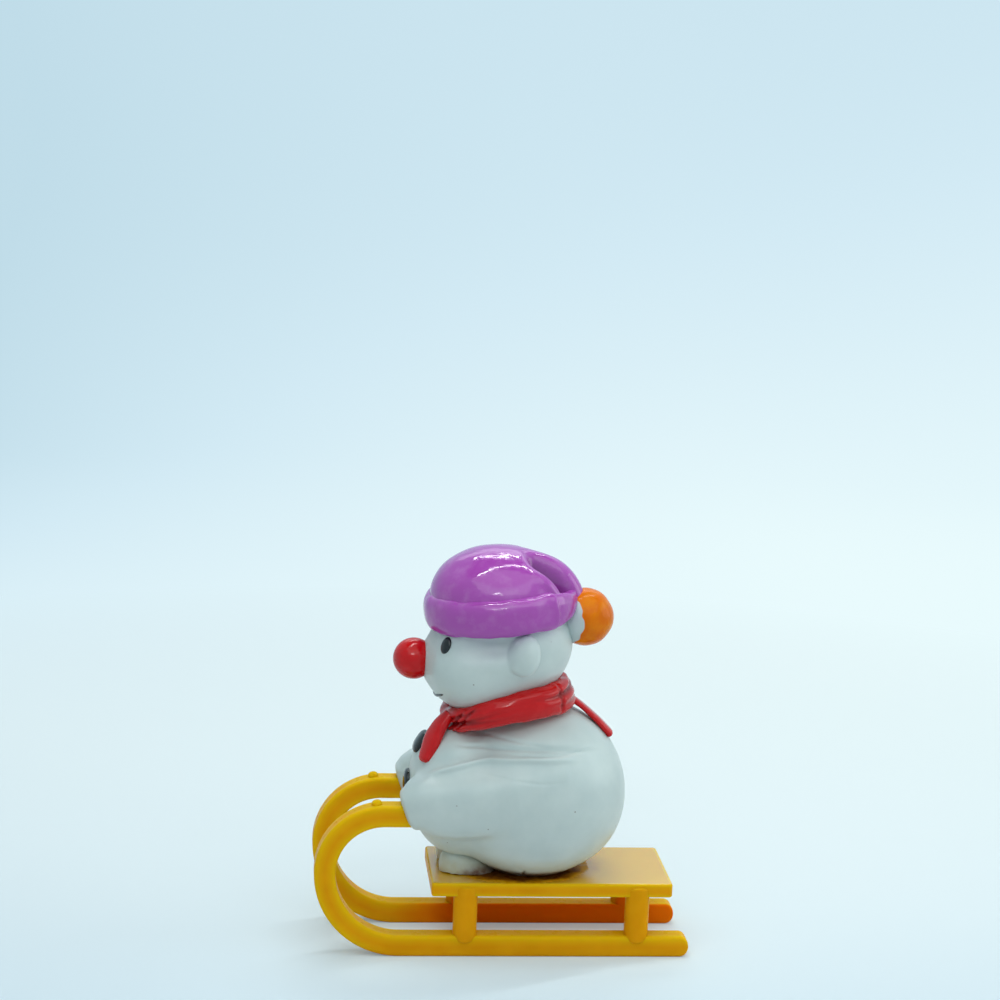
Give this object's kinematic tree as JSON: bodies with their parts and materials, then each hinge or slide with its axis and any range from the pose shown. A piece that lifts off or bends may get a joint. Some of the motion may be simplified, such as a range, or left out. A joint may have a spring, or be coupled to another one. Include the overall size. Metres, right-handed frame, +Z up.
{
  "type": "toy snow sled",
  "caption": "Toy snow sled: a plate deck on posts over two ground bars that loop up into horns, ridden by a seated snowman that holds the horns.",
  "frame": {"origin": "on the floor, at the middle of the sled's length and width", "axes": "+Z up, the sled's front with its loops looks to -X, the snowman's left hand is on the -Y side"},
  "size_m": [0.0564, 0.0258, 0.061],
  "materials": {
    "sled_yellow": "moulded yellow plastic, satin gloss",
    "snow_white": "moulded white plastic, satin",
    "scarf_red": "glossy red paint on plastic",
    "hat_purple": "glossy purple paint on plastic",
    "pompom_orange": "glossy orange paint on plastic",
    "coal_black": "glossy black paint on plastic"
  },
  "bodies": {
    "sled": {"deck": "sled_yellow", "runner_left": "sled_yellow", "runner_right": "sled_yellow", "post_front_left": "sled_yellow", "post_front_right": "sled_yellow", "post_rear_left": "sled_yellow", "post_rear_right": "sled_yellow"},
    "snowman": {"trunk": "snow_white", "arm_left": "snow_white", "arm_right": "snow_white", "foot_left": "snow_white", "foot_right": "snow_white", "head": "snow_white", "ear_left": "snow_white", "ear_right": "snow_white", "nose": "scarf_red", "eye_left": "coal_black", "eye_right": "coal_black", "button_1": "coal_black", "button_2": "coal_black", "hat_crown": "hat_purple", "hat_cuff": "hat_purple", "hat_tip": "hat_purple", "pompom": "pompom_orange", "scarf_band": "scarf_red", "scarf_front_end": "scarf_red", "scarf_back_end": "scarf_red"}
  },
  "joints": [
    {"name": "snowman_slide", "type": "slide", "parent": "sled", "child": "snowman", "axis": [1, 0, 0], "range_m": [0, 0.0032]}
  ]
}
